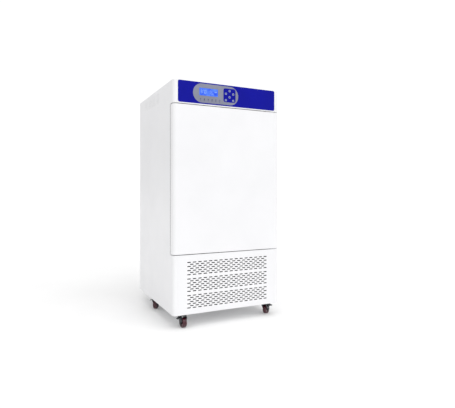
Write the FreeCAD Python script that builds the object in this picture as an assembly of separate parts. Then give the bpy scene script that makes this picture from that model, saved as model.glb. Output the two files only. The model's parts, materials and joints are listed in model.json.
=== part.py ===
import FreeCAD, Part
import math
import os

# Cooled laboratory incubator: a steel cabinet on four casters, with a control housing above the
# chamber, a machine housing below it, a full-width door between the two and a glass inner door.
# Frame: X to the right as seen from the front, Y to the back, Z up, millimetres.
# The origin is the centre of the footprint on the floor.

# ---------------------------------------------------------------- driving dimensions
overall_width = 620.0
overall_depth = 668.0
overall_height = 1262.0
caster_height = 70.0
upper_housing_height = 118.0
lower_housing_height = 303.0

sheet = 1.2
front_bend_radius = 18.0
front_flange = 24.2
panel_seam = 0.3
rear_flange = 15.0
seal_flange = 44.0
cover_gap = 0.5

door_thickness = 42.0
door_sheet = 1.0
inner_panel_thickness = 2.0
dike_corner = 8.0
door_gap = 4.0
door_return = 12.0
door_cap_thickness = 10.0
gasket_gap = 6.0
gasket_inset = 16.0
gasket_width = 14.0
gasket_clearance = 0.3
dike_height = 14.0
dike_width = 18.0
dike_clearance = 12.0
hinge_inset = 14.0
hinge_depth = 21.0
hinge_plate = 2.5
hinge_arm = 34.0
hinge_edge = 2.0
hinge_front_inset = 6.0
hinge_corner = 8.0
hinge_pin_radius = 4.0
pin_clearance = 0.05
thrust_gap = 0.1

side_insulation = 55.0
end_insulation = 50.0
rear_insulation = 50.0
liner_sheet = 1.0
duct_depth = 80.0
duct_cover_gap = 0.5

glass_thickness = 5.0
glass_gap = 4.0
glass_setback = 22.0
glass_pivot_inset = 14.0
glass_pin_radius = 2.5
knob_inset = 42.0
knob_stem_radius = 4.0
knob_hole_clearance = 0.1
knob_nut_radius = 8.0
knob_nut_height = 3.0
knob_radius = 9.0
knob_length = 15.0

overlay_margin = 25.0
overlay_height = 111.0
overlay_top_gap = 1.5
overlay_thickness = 0.5
overlay_corner = 9.0
bezel_thickness = 0.4
bezel_length = 260.0
bezel_height = 99.0
bezel_centre_x = -74.0
lcd_width = 104.6
lcd_height = 38.6
lcd_centre_x = -116.4
lcd_rise = 7.5
keypad_width = 72.0
keypad_height = 73.0
keypad_corner = 11.0
keypad_centre_x = 4.2
keypad_rise = 2.0
key_column_step = 21.6
key_top_rise = 24.0
key_middle_rise = 8.0
key_centre_drop = 8.8
key_corner_drop = 26.2
key_radius = 6.3
key_flange_radius = 8.0
key_flange_thickness = 1.8
key_proud = 1.1
key_travel = 0.8
key_stem_length = 3.0
key_stem_radius = 2.0
window_clearance = 0.3

grille_slot_length = 19.5
grille_slot_height = 5.2
grille_slot_pitch = 30.0
grille_slots = 16
grille_row_pitch = 10.4
grille_rows = 7
grille_band_pitch = 84.6
grille_bands = 3
grille_top_gap = 38.0

side_vent_start = 243.0
side_vent_pitch = 81.0
side_vent_groups = 4
side_vent_top_gap = 26.0
side_vent_hole_radius = 2.0
side_vent_hole_pitch = 11.5
side_vent_holes = 5

screw_radius = 2.0
screw_head_radius = 4.0
screw_head_height = 2.0
screw_length = 10.0
screw_clearance = 0.15

tray_thickness = 2.0
tray_lip_height = 22.0
rear_screw_margin = 40.0
service_screw_margin = 30.0
inlet_side_inset = 95.0
inlet_height = 60.0
shelf_count = 3
shelf_rod_radius = 3.0
shelf_wire_radius = 1.5
shelf_wire_pitch = 25.0
shelf_side_gap = 7.0
shelf_seat_gap = 0.3
shelf_front_gap = 38.0
shelf_rear_gap = 12.0
upright_inset = 60.0
upright_end_gap = 12.0
clip_width = 12.0
clip_height = 18.0
clip_ledge = 16.0
lamp_length = 140.0
lamp_width = 40.0
lamp_height = 14.0
lamp_setback = 100.0
probe_inset = 90.0
probe_radius = 3.0
probe_reach = 48.0
upright_width = 16.0
upright_thickness = 3.0
upright_slot_pitch = 25.0
clip_thickness = 1.5

fan_radius = 80.0
fan_drop = 254.98
fan_depth = 18.0
fan_hub_radius = 24.0
fan_blades = 5
fan_blade_chord = 40.0
fan_blade_thickness = 2.0
fan_blade_pitch = 24.0
fan_shaft_radius = 3.0
motor_radius = 30.0
motor_length = 38.0
motor_shaft_length = 24.0
fan_motor_gap = 3.0

compressor_inset_x = 130.0
compressor_inset_y = 130.0
compressor_foot_length = 210.0
compressor_foot_width = 130.0
compressor_foot_sheet = 3.0
compressor_dome = 28.0
compressor_stub_step = 30.0
compressor_radius = 75.0
compressor_height = 175.0
mount_height = 12.0
condenser_width = 280.0
condenser_height = 220.0
condenser_depth = 60.0
condenser_setback = 40.0
evaporator_width = 340.0
evaporator_height = 160.0
evaporator_depth = 50.0
fin_thickness = 0.8
tube_radius = 4.0
pipe_radius = 4.0
pipe_bend = 16.0
pipe_hole_radius = 8.0

inlet_flange_width = 50.0
inlet_flange_height = 24.0
inlet_body_width = 28.0
inlet_body_height = 21.0
inlet_body_depth = 28.0
inlet_wall = 2.0
inlet_socket_depth = 20.0
inlet_clearance = 0.2
blade_setback = 5.0
blade_width = 2.0
blade_height = 4.0
blade_spacing = 7.0
blade_offset = 2.0

wheel_radius = 25.0
wheel_width = 22.0
caster_trail = 18.0
caster_plate_length = 66.0
caster_plate_width = 60.0
caster_plate_thickness = 2.5
front_caster_x = 250.0
front_caster_setback = 46.0
rear_caster_x = 264.0
rear_caster_setback = 438.0
fork_sheet = 2.5
fork_clearance = 1.5
axle_radius = 3.0
kingpin_radius = 5.0
race_radius = 27.0
race_height = 5.0
swivel_gap = 0.3

# ---------------------------------------------------------------- planes worked out from them
half_width = overall_width / 2
overlay_proud = overlay_thickness + key_proud
front = -overall_depth / 2 + overlay_proud
rear = overall_depth / 2 - screw_head_height
panel_rear = rear - sheet
base_z = caster_height
top_z = overall_height
lower_top = base_z + lower_housing_height
upper_bottom = top_z - upper_housing_height
flange_y = front + door_thickness + gasket_gap
plate_half_width = half_width - front_flange - panel_seam

door_bottom = lower_top + door_gap
door_top = upper_bottom - door_gap
door_rear = front + door_thickness
hinge_x = half_width - hinge_inset
hinge_y = front + hinge_depth

chamber_half = half_width - sheet - side_insulation
chamber_bottom = lower_top + end_insulation
chamber_top = upper_bottom - end_insulation
chamber_rear = panel_rear - rear_insulation
duct_front = chamber_rear - duct_depth
glass_front = flange_y + glass_setback - glass_thickness
glass_rear = flange_y + glass_setback
fan_z = chamber_top - fan_drop


# ---------------------------------------------------------------- helpers
def vec(x, y, z):
    return FreeCAD.Vector(x, y, z)


def save(node, *solids):
    shape = solids[0] if len(solids) == 1 else Part.makeCompound(list(solids))
    shape.exportStep("parts/" + node + ".step")


def box(x0, x1, y0, y1, z0, z1):
    return Part.makeBox(x1 - x0, y1 - y0, z1 - z0, vec(x0, y0, z0))


def rod(start, end, radius):
    along = end - start
    return Part.makeCylinder(radius, along.Length, start, along)


def joined(first, *others):
    return first.fuse(list(others)).removeSplitter()


def mirrored(shape):
    return shape.mirror(vec(0, 0, 0), vec(1, 0, 0))


def rounded_front_prism(half_x, y_front, y_rear, corner, z0, z1):
    """A block whose two vertical front edges are rounded."""
    turn = corner * (1 - math.sqrt(0.5))
    left = Part.Arc(vec(-half_x, y_front + corner, z0), vec(-half_x + turn, y_front + turn, z0),
                    vec(-half_x + corner, y_front, z0))
    right = Part.Arc(vec(half_x - corner, y_front, z0), vec(half_x - turn, y_front + turn, z0),
                     vec(half_x, y_front + corner, z0))
    corners = [vec(half_x, y_front + corner, z0), vec(half_x, y_rear, z0),
               vec(-half_x, y_rear, z0), vec(-half_x, y_front + corner, z0)]
    edges = [left.toShape(),
             Part.makeLine(vec(-half_x + corner, y_front, z0), vec(half_x - corner, y_front, z0)),
             right.toShape()]
    edges += [Part.makeLine(a, b) for a, b in zip(corners, corners[1:])]
    return Part.Face(Part.Wire(edges)).extrude(vec(0, 0, z1 - z0))


def cabinet_prism(inset, y_rear, z0, z1):
    return rounded_front_prism(half_width - inset, front + inset, y_rear,
                               front_bend_radius - inset, z0, z1)


def rounded_wire(centre_x, centre_z, width, height, corner, y):
    """A rectangle with rounded corners in the plane of the front, as a closed wire."""
    right, left = centre_x + width / 2, centre_x - width / 2
    top, bottom = centre_z + height / 2, centre_z - height / 2
    edges = []
    centres = [(right - corner, top - corner), (left + corner, top - corner),
               (left + corner, bottom + corner), (right - corner, bottom + corner)]
    for quarter, (x, z) in enumerate(centres):
        start = quarter * math.pi / 2
        points = [vec(x + corner * math.cos(a), y, z + corner * math.sin(a))
                  for a in (start, start + math.pi / 4, start + math.pi / 2)]
        edges.append(Part.Arc(*points).toShape())
    ends = [(edge.Vertexes[0].Point, edge.Vertexes[-1].Point) for edge in edges]
    bridged = []
    for index, edge in enumerate(edges):
        bridged.append(edge)
        gap_start, gap_end = ends[index][1], ends[(index + 1) % 4][0]
        if gap_start.distanceToPoint(gap_end) > 1e-6:
            bridged.append(Part.makeLine(gap_start, gap_end))
    return Part.Wire(bridged)


def circle_wire(x, z, radius, y):
    return Part.Wire(Part.makeCircle(radius, vec(x, y, z), vec(0, 1, 0)))


def front_plate(outer, holes, thickness):
    """A sheet in the plane of the front, cut by closed wires, thickened towards the back."""
    face = Part.makeFace([outer] + holes, "Part::FaceMakerBullseye")
    return face.extrude(vec(0, thickness, 0))


def rectangle(x0, x1, z0, z1, y):
    corners = [vec(x0, y, z0), vec(x1, y, z0), vec(x1, y, z1), vec(x0, y, z1), vec(x0, y, z0)]
    return Part.makePolygon(corners)


def pipe(points, radius, bend):
    """A round tube, solid, along straight runs joined by tangent arcs."""
    edges = []
    start = points[0]
    for corner, after in zip(points[1:-1], points[2:]):
        into = (corner - start).normalize()
        out = (after - corner).normalize()
        turn = into.getAngle(out)
        reach = bend * math.tan(turn / 2)
        first, last = corner - into * reach, corner + out * reach
        sag = (out - into).normalize() * (bend / math.cos(turn / 2) - bend)
        edges.append(Part.makeLine(start, first))
        edges.append(Part.Arc(first, corner + sag, last).toShape())
        start = last
    edges.append(Part.makeLine(start, points[-1]))
    path = Part.Wire(edges)
    profile = Part.Wire(Part.makeCircle(radius, points[0], points[1] - points[0]))
    return path.makePipeShell([profile], True, False)


# ---------------------------------------------------------------- cabinet
def side_vent_holes_tool():
    """Four square groups of round holes that air the control housing."""
    span = (side_vent_holes - 1) * side_vent_hole_pitch
    first_z = top_z - side_vent_top_gap
    holes = []
    for group in range(side_vent_groups):
        group_y = front + side_vent_start + group * side_vent_pitch
        for column in range(side_vent_holes):
            for row in range(side_vent_holes):
                y = group_y + column * side_vent_hole_pitch
                z = first_z - span + row * side_vent_hole_pitch
                holes.append(rod(vec(-half_width - 1, y, z), vec(-half_width + 3, y, z),
                                 side_vent_hole_radius))
    return Part.makeCompound(holes)


def rear_screw_heights():
    upper_span = top_z - lower_top - 2 * rear_screw_margin
    lower_span = lower_housing_height - 2 * service_screw_margin
    upper = [lower_top + rear_screw_margin + step * upper_span / 3 for step in range(4)]
    lower = [base_z + service_screw_margin + step * lower_span / 2 for step in range(3)]
    return upper + lower


def rear_screw_holes():
    """Clearance holes of the rear covers' screws, a little deeper than the screws."""
    holes = []
    for x in (-half_width + rear_flange / 2, half_width - rear_flange / 2):
        for z in rear_screw_heights():
            holes.append(rod(vec(x, rear - screw_length - 2, z), vec(x, rear + 1, z),
                             screw_radius + screw_clearance))
    return Part.makeCompound(holes)


def left_panel():
    """One bent sheet: side, rounded front flanges of both housings and the door's seal flange."""
    keep = box(-half_width - 1, -half_width + front_flange, front - 1, panel_rear, 0, top_z)
    solids = []
    for z0, z1 in ((base_z, lower_top), (upper_bottom, top_z - sheet)):
        shell = cabinet_prism(0, panel_rear, z0, z1).cut(cabinet_prism(sheet, panel_rear + 1, z0, z1))
        solids.append(shell.common(keep))
    outer = -half_width
    solids.append(box(outer, outer + sheet, flange_y, panel_rear, lower_top, upper_bottom))
    solids.append(box(outer, outer + seal_flange, flange_y, flange_y + sheet, lower_top, upper_bottom))
    solids.append(box(outer, outer + rear_flange, panel_rear - sheet, panel_rear,
                      base_z, top_z - sheet))
    panel = joined(solids[0], *solids[1:])
    return panel.cut([side_vent_holes_tool(), rear_screw_holes()])


def top_cover():
    rim_height = 14.0
    rim_end = 40.0
    inner = half_width - sheet - cover_gap / 2
    cover = cabinet_prism(0, rear, top_z - sheet, top_z)
    rims = [box(x0, x0 + sheet, front + rim_end, panel_rear - rim_end,
                top_z - sheet - rim_height, top_z - sheet)
            for x0 in (-inner, inner - sheet)]
    return joined(cover, *rims)


def rear_panel():
    plate = box(-half_width, half_width, panel_rear, rear, lower_top + cover_gap, top_z - sheet)
    return plate.cut(rear_screw_holes())


def inlet_place():
    return half_width - inlet_side_inset, base_z + inlet_height


def rear_service_cover():
    """The lower rear cover, with rows of long air slots and the cut-out of the mains inlet."""
    rows, columns = 9, 4
    slot_length, slot_height = 92.0, 6.0
    row_pitch, column_pitch = 18.0, 112.0
    first_z = lower_top - 40.0
    holes = []
    for row in range(rows):
        for column in range(columns):
            x = (column - (columns - 1) / 2) * column_pitch
            z = first_z - row * row_pitch
            holes.append(rounded_wire(x, z, slot_length, slot_height, slot_height / 2, panel_rear))
    inlet_x, inlet_z = inlet_place()
    holes.append(rounded_wire(inlet_x, inlet_z, inlet_body_width + 2 * inlet_clearance,
                              inlet_body_height + 2 * inlet_clearance, inlet_clearance, panel_rear))
    outer = rectangle(-half_width, half_width, base_z, lower_top, panel_rear)
    return front_plate(outer, holes, sheet).cut(rear_screw_holes())


def base_tray():
    tray = cabinet_prism(sheet, panel_rear - sheet, base_z, base_z + tray_thickness)
    lip_half = half_width - rear_flange
    lip = box(-lip_half, lip_half, panel_rear - 2 * sheet, panel_rear - sheet, base_z,
              base_z + tray_lip_height)
    return joined(tray, lip)


def front_grille():
    """Front sheet of the machine housing: three bands of staggered slots, and the top ledge."""
    slot_rows = []
    top_row = lower_top - grille_top_gap
    for band in range(grille_bands):
        for row in range(grille_rows):
            count = grille_slots - row % 2
            z = top_row - band * grille_band_pitch - row * grille_row_pitch
            for index in range(count):
                x = (index - (count - 1) / 2) * grille_slot_pitch
                slot_rows.append(rounded_wire(x, z, grille_slot_length, grille_slot_height,
                                              grille_slot_height / 2, front))
    outer = rectangle(-plate_half_width, plate_half_width, base_z, lower_top, front)
    plate = front_plate(outer, slot_rows, sheet)
    ledge = cabinet_prism(sheet, flange_y, lower_top - sheet, lower_top)
    return joined(plate, ledge)


# ---------------------------------------------------------------- insulation and liner
def foam_cuts():
    """Paths of the pipes and of the inner door's pins through the insulation."""
    cuts = []
    for x, z in riser_places():
        cuts.append(rod(vec(x, riser_y(), lower_top - 1), vec(x, riser_y(), z + pipe_hole_radius),
                        pipe_hole_radius))
        cuts.append(rod(vec(x, riser_y(), z), vec(x, chamber_rear, z), pipe_hole_radius))
    pin_x, pin_y = glass_pivot()
    reach = 14.0
    for z0, z1 in ((chamber_bottom - liner_sheet - reach, chamber_bottom),
                   (chamber_top, chamber_top + liner_sheet + reach)):
        cuts.append(rod(vec(pin_x, pin_y, z0), vec(pin_x, pin_y, z1), glass_pin_radius + 1))
    return cuts


def liner_block(grow, y_front):
    return box(-chamber_half - grow, chamber_half + grow, y_front, chamber_rear + grow,
               chamber_bottom - grow, chamber_top + grow)


def cabinet_foam():
    inner = half_width - sheet
    block = box(-inner, inner, flange_y + sheet, panel_rear - sheet, lower_top, upper_bottom)
    return block.cut([liner_block(liner_sheet, front), rear_screw_holes()] + foam_cuts())


def chamber_liner():
    """Stainless box, open to the front, with the flange that the door's seal closes on."""
    flange_half = half_width - seal_flange - panel_seam
    flange = box(-flange_half, flange_half, flange_y, flange_y + liner_sheet,
                 lower_top, upper_bottom)
    shell = joined(flange, liner_block(liner_sheet, flange_y)).cut(liner_block(0, front))
    cuts = []
    for x, z in riser_places():
        cuts.append(rod(vec(x, chamber_rear - 1, z), vec(x, chamber_rear + 3, z), pipe_hole_radius))
    pin_x, pin_y = glass_pivot()
    for z in (chamber_bottom, chamber_top):
        cuts.append(rod(vec(pin_x, pin_y, z - 3), vec(pin_x, pin_y, z + 3),
                        glass_pin_radius + pin_clearance))
    return shell.cut(cuts)


# ---------------------------------------------------------------- controls
def control_z():
    return top_z - overlay_top_gap - overlay_height / 2


def key_places():
    """Name and centre of each key: a diamond of four arrows over two corner keys."""
    centre_z = control_z() + keypad_rise
    steps = {"up_key": (0, key_top_rise), "left_key": (-1, key_middle_rise),
             "right_key": (1, key_middle_rise), "down_key": (0, -key_centre_drop),
             "set_key": (-1, -key_corner_drop), "light_key": (1, -key_corner_drop)}
    return {name: (keypad_centre_x + side * key_column_step, centre_z + rise)
            for name, (side, rise) in steps.items()}


def lcd_wire(clearance, y):
    return rounded_wire(lcd_centre_x, control_z() + lcd_rise, lcd_width + 2 * clearance,
                        lcd_height + 2 * clearance, 1.0, y)


def control_holes(y):
    holes = [lcd_wire(window_clearance, y)]
    for x, z in key_places().values():
        holes.append(circle_wire(x, z, key_radius + window_clearance, y))
    return holes


def control_fascia():
    """Front sheet of the control housing with its underside ledge and top return."""
    outer = rectangle(-plate_half_width, plate_half_width, upper_bottom, top_z - sheet, front)
    plate = front_plate(outer, control_holes(front), sheet)
    ledge = cabinet_prism(sheet, flange_y, upper_bottom, upper_bottom + sheet)
    return_half = plate_half_width - 2.0
    return_depth = 16.0
    top_return = box(-return_half, return_half, front + sheet, front + return_depth,
                     top_z - 2 * sheet, top_z - sheet)
    return joined(plate, ledge, top_return)


def control_overlay():
    y = front - overlay_thickness
    outer = rounded_wire(0, control_z(), overall_width - 2 * overlay_margin, overlay_height,
                         overlay_corner, y)
    return front_plate(outer, control_holes(y), overlay_thickness)


def display_bezel():
    """Stadium-shaped label with windows for the display and the keypad."""
    y = front - overlay_thickness - bezel_thickness
    outer = rounded_wire(bezel_centre_x, control_z(), bezel_length, bezel_height,
                         bezel_height / 2, y)
    keypad = rounded_wire(keypad_centre_x, control_z() + keypad_rise, keypad_width,
                          keypad_height, keypad_corner, y)
    return front_plate(outer, [lcd_wire(window_clearance, y), keypad], bezel_thickness)


def lcd_display():
    recess = 0.5
    body_depth = 6.0
    body_margin = 6.0
    y = front - overlay_thickness - bezel_thickness + recess
    glass = front_plate(lcd_wire(0, y), [], front + sheet - y)
    z = control_z() + lcd_rise
    body = box(lcd_centre_x - lcd_width / 2 - body_margin, lcd_centre_x + lcd_width / 2 + body_margin,
               front + sheet, front + sheet + body_depth,
               z - lcd_height / 2 - body_margin, z + lcd_height / 2 + body_margin)
    return joined(glass, body)


def key(x, z):
    """A round cap that stands out of the keypad, its captive flange and its stem."""
    cap_front = front - overlay_thickness - key_proud
    flange_front = front + sheet + window_clearance
    flange_rear = flange_front + key_flange_thickness
    cap = rod(vec(x, cap_front, z), vec(x, flange_front, z), key_radius)
    cap = cap.makeFillet(0.5, [edge for edge in cap.Edges
                               if edge.BoundBox.YMax < cap_front + 0.01])
    flange = rod(vec(x, flange_front, z), vec(x, flange_rear, z), key_flange_radius)
    stem = rod(vec(x, flange_rear, z), vec(x, flange_rear + key_stem_length, z), key_stem_radius)
    return joined(cap, flange, stem)


def control_board():
    """Circuit board behind the keys, its six switches and the spacers that hold it."""
    switch_height = 3.5
    switch_half = 3.0
    board_thickness = 1.6
    left_margin, right_margin = 20.0, 12.0
    spacer_inset = 5.0
    spacer_radius = 3.0
    switch_front = (front + sheet + window_clearance + key_flange_thickness + key_stem_length
                    + key_travel + 0.2)
    board_y = switch_front + switch_height
    left = lcd_centre_x - lcd_width / 2 - left_margin
    right = keypad_centre_x + keypad_width / 2 + right_margin
    half_height = 46.0
    z0, z1 = control_z() - half_height, control_z() + half_height
    solids = [box(left, right, board_y, board_y + board_thickness, z0, z1)]
    for x, z in key_places().values():
        solids.append(box(x - switch_half, x + switch_half, switch_front, board_y,
                          z - switch_half, z + switch_half))
    for x in (left + spacer_inset, right - spacer_inset):
        for z in (z0 + spacer_inset, z1 - spacer_inset):
            solids.append(rod(vec(x, front + sheet, z), vec(x, board_y, z), spacer_radius))
    return solids


# ---------------------------------------------------------------- door
def door_skin():
    """Outer sheet of the door: front, rounded edges, sides and narrow rear returns."""
    solid = cabinet_prism(0, door_rear, door_bottom, door_top)
    hollow = cabinet_prism(door_sheet, door_rear - door_sheet, door_bottom, door_top)
    opening = half_width - door_return
    mouth = box(-opening, opening, door_rear - 2 * door_sheet, door_rear + 1, door_bottom, door_top)
    return solid.cut([hollow, mouth])


def door_end_cap(z0, boss_up):
    """Moulded cap that closes one end of the door, with the hinge bush in a low boss."""
    z1 = z0 + door_cap_thickness
    cap = cabinet_prism(door_sheet, door_rear - door_sheet, z0, z1)
    opening = half_width - door_return - panel_seam
    infill = box(-opening, opening, door_rear - door_sheet, door_rear, z0, z1)
    boss_height = door_gap - hinge_plate - thrust_gap
    boss_z = z1 if boss_up else z0 - boss_height
    boss = Part.makeCylinder(2 * hinge_pin_radius, boss_height, vec(hinge_x, hinge_y, boss_z))
    bush = Part.makeCylinder(hinge_pin_radius + pin_clearance, 4 * door_cap_thickness,
                             vec(hinge_x, hinge_y, z0 - door_cap_thickness))
    return joined(cap, infill, boss).cut(bush)


def door_inner_panel():
    """Moulded inner face of the door with a raised dike that enters the chamber's mouth."""
    panel_half = half_width - door_return - panel_seam
    z0, z1 = door_bottom + door_cap_thickness, door_top - door_cap_thickness
    plate = box(-panel_half, panel_half, door_rear - inner_panel_thickness, door_rear, z0, z1)
    outer_half = chamber_half - dike_clearance
    ring_bottom, ring_top = chamber_bottom + dike_clearance, chamber_top - dike_clearance
    ring = box(-outer_half, outer_half, door_rear, door_rear + dike_height, ring_bottom, ring_top)
    ring = ring.makeFillet(dike_corner, [edge for edge in ring.Edges
                                         if abs(edge.BoundBox.YLength - dike_height) < 0.01])
    inner_half = outer_half - dike_width
    well = box(-inner_half, inner_half, door_rear, door_rear + dike_height,
               ring_bottom + dike_width, ring_top - dike_width)
    return joined(plate, ring.cut(well))


def door_foam():
    return cabinet_prism(door_sheet, door_rear - inner_panel_thickness,
                         door_bottom + door_cap_thickness, door_top - door_cap_thickness)


def door_gasket():
    """Magnetic seal: a base strip, a narrower bellows and a flat magnet head, all round."""
    depth = flange_y - gasket_clearance - door_rear
    base_depth, bellows_depth = 1.4, 2.0
    steps = ((0, base_depth, 0.0), (base_depth, bellows_depth, 2.5),
             (base_depth + bellows_depth, depth - base_depth - bellows_depth, 0.8))
    rings = []
    for start, length, shrink in steps:
        outer = half_width - gasket_inset - shrink
        inner = half_width - gasket_inset - gasket_width + shrink
        y0, y1 = door_rear + start, door_rear + start + length
        low, high = door_bottom + gasket_inset, door_top - gasket_inset
        ring = box(-outer, outer, y0, y1, low + shrink, high - shrink)
        rings.append(ring.cut(box(-inner, inner, y0, y1, low + gasket_width - shrink,
                                  high - gasket_width + shrink)))
    return joined(rings[0], *rings[1:])


def door_hinge(z_plate, pin_down):
    """A flat bracket in the gap beside the door, with the pin that the door turns on."""
    bracket = box(hinge_x - hinge_arm, half_width - hinge_edge, front + hinge_front_inset,
                  flange_y - hinge_edge, z_plate, z_plate + hinge_plate)
    bracket = bracket.makeFillet(hinge_corner, [edge for edge in bracket.Edges
                                                if edge.BoundBox.ZLength > hinge_plate - 0.01])
    length = door_gap - hinge_plate + door_cap_thickness - 1
    pin_z = z_plate - length if pin_down else z_plate + hinge_plate
    pin = Part.makeCylinder(hinge_pin_radius, length, vec(hinge_x, hinge_y, pin_z))
    return joined(bracket, pin)


# ---------------------------------------------------------------- inner door
def glass_pivot():
    return chamber_half - glass_gap - glass_pivot_inset, glass_rear - glass_thickness / 2


def glass_block(grow):
    half = chamber_half - glass_gap
    return box(-half - grow, half + grow, glass_front - grow, glass_rear + grow,
               chamber_bottom + glass_gap - grow, chamber_top - glass_gap + grow)


def knob_place():
    return -chamber_half + knob_inset, (chamber_bottom + chamber_top) / 2


def inner_glass():
    x, z = knob_place()
    hole = rod(vec(x, glass_front - 1, z), vec(x, glass_rear + 1, z),
               knob_stem_radius + knob_hole_clearance)
    return glass_block(0).cut(hole)


def inner_door_shoe(at_top):
    """A clamp over one corner of the glass, with the pin that turns in the liner."""
    grip, wall, reach = 26.0, 2.0, 10.0
    pin_x, pin_y = glass_pivot()
    edge = chamber_half - glass_gap
    if at_top:
        z0, z1 = chamber_top - glass_gap - grip, chamber_top - glass_gap + wall
        pin = rod(vec(pin_x, pin_y, z1), vec(pin_x, pin_y, chamber_top + reach), glass_pin_radius)
    else:
        z0, z1 = chamber_bottom + glass_gap - wall, chamber_bottom + glass_gap + grip
        pin = rod(vec(pin_x, pin_y, chamber_bottom - reach), vec(pin_x, pin_y, z0), glass_pin_radius)
    body = box(edge - 2 * glass_pivot_inset, edge + 1.5, glass_front - wall, glass_rear + wall, z0, z1)
    return joined(body.cut(glass_block(0)), pin)


def inner_door_knob():
    x, z = knob_place()
    stem = rod(vec(x, glass_front, z), vec(x, glass_rear, z), knob_stem_radius)
    grip = rod(vec(x, glass_front - knob_length, z), vec(x, glass_front, z), knob_radius)
    grip = grip.makeFillet(2.0, [edge for edge in grip.Edges
                                 if edge.BoundBox.YMax < glass_front - knob_length + 0.01])
    nut = rod(vec(x, glass_rear, z), vec(x, glass_rear + knob_nut_height, z), knob_nut_radius)
    return joined(stem, grip, nut)


# ---------------------------------------------------------------- chamber fittings
def shelf_heights():
    clear = chamber_top - chamber_bottom
    return [chamber_bottom + clear * (step + 1) / (shelf_count + 1) for step in range(shelf_count)]


def shelf_span():
    return glass_rear + shelf_front_gap, duct_front - shelf_rear_gap


def upright_places():
    y0, y1 = shelf_span()
    return y0 + upright_inset, y1 - upright_inset


def shelf_upright(y, mirror):
    """A perforated strip on the side wall, with a slot for a clip at every step."""
    z0, z1 = chamber_bottom + upright_end_gap, chamber_top - upright_end_gap
    strip = box(-chamber_half, -chamber_half + upright_thickness,
                y - upright_width / 2, y + upright_width / 2, z0, z1)
    slots = []
    for height in shelf_heights():
        steps_down = math.floor((height - z0 - 20) / upright_slot_pitch / shelf_count)
        for step in range(-steps_down, steps_down + 1):
            z = height + step * upright_slot_pitch
            slots.append(box(-chamber_half - 1, -chamber_half + upright_thickness + 1,
                             y - 1.5, y + 1.5, z - 16, z - 8))
    strip = strip.cut(Part.makeCompound(slots))
    return mirrored(strip) if mirror else strip


def shelf_clip(y, z, mirror):
    """An angle that stands on the upright's face and carries the shelf on its ledge."""
    face = -chamber_half + upright_thickness
    ledge_top = z - shelf_rod_radius - shelf_seat_gap
    half = clip_width / 2
    back = box(face, face + clip_thickness, y - half, y + half, ledge_top - clip_height, ledge_top)
    ledge = box(face, face + clip_ledge, y - half, y + half, ledge_top - clip_thickness, ledge_top)
    hook = box(face - upright_thickness + 0.5, face, y - 1.2, y + 1.2, z - 15, z - 11)
    clip = joined(back, ledge, hook)
    return mirrored(clip) if mirror else clip


def shelf(z):
    """Wire shelf: a rod frame, close wires from front to back and two cross rods under them."""
    half = chamber_half - upright_thickness - shelf_side_gap
    y0, y1 = shelf_span()
    frame_rods = [rod(vec(-half, y0, z), vec(-half, y1, z), shelf_rod_radius),
                  rod(vec(half, y0, z), vec(half, y1, z), shelf_rod_radius),
                  rod(vec(-half, y0, z), vec(half, y0, z), shelf_rod_radius),
                  rod(vec(-half, y1, z), vec(half, y1, z), shelf_rod_radius)]
    corners = [Part.makeSphere(shelf_rod_radius, vec(x, y, z))
               for x in (-half, half) for y in (y0, y1)]
    cross_z = z - shelf_wire_radius - 1.5
    cross = [rod(vec(-half, y, cross_z), vec(half, y, cross_z), 2.0)
             for y in (y0 + 0.38 * (y1 - y0), y0 + 0.62 * (y1 - y0))]
    count = int(2 * half / shelf_wire_pitch)
    wires = []
    for index in range(1, count):
        x = -half + index * 2 * half / count
        wires.append(rod(vec(x, y0, z), vec(x, y1, z), shelf_wire_radius))
    return frame_rods[0].fuse(frame_rods[1:] + corners + cross + wires)


def air_duct_cover():
    """Perforated sheet in front of the fan and coils: air enters at the fan, leaves at the ends."""
    half = chamber_half - duct_cover_gap
    outer = rectangle(-half, half, chamber_bottom + duct_cover_gap, chamber_top - duct_cover_gap,
                      duct_front)
    holes = []
    ring_count, ring_step, hole_radius = 5, 14.0, 4.0
    for ring in range(1, ring_count + 1):
        radius = ring * ring_step
        count = 6 * ring
        for step in range(count):
            angle = 2 * math.pi * step / count
            holes.append(circle_wire(radius * math.cos(angle), fan_z + radius * math.sin(angle),
                                     hole_radius, duct_front))
    slots, slot_pitch, slot_length, slot_height = 9, 50.0, 34.0, 6.0
    for row_z in (chamber_bottom + 40, chamber_bottom + 60, chamber_top - 30, chamber_top - 50):
        for index in range(slots):
            x = (index - (slots - 1) / 2) * slot_pitch
            holes.append(rounded_wire(x, row_z, slot_length, slot_height, slot_height / 2, duct_front))
    probe_x, probe_z = probe_place()
    holes.append(circle_wire(probe_x, probe_z, probe_radius + inlet_clearance / 2, duct_front))
    return front_plate(outer, holes, liner_sheet)


def probe_place():
    return chamber_half - probe_inset, chamber_top - probe_inset


def temperature_probe():
    x, z = probe_place()
    sheath = rod(vec(x, duct_front - probe_reach, z), vec(x, duct_front + 16, z), probe_radius)
    collar = rod(vec(x, duct_front - 3, z), vec(x, duct_front, z), 7.0)
    return joined(sheath, collar)


def chamber_lamp():
    y = flange_y + lamp_setback
    lamp = box(-lamp_length / 2, lamp_length / 2, y - lamp_width / 2, y + lamp_width / 2,
               chamber_top - lamp_height, chamber_top)
    return lamp.makeFillet(6.0, [edge for edge in lamp.Edges
                                 if edge.BoundBox.ZMin < chamber_top - 0.01
                                 and edge.BoundBox.ZMax < chamber_top - 0.01])


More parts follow.
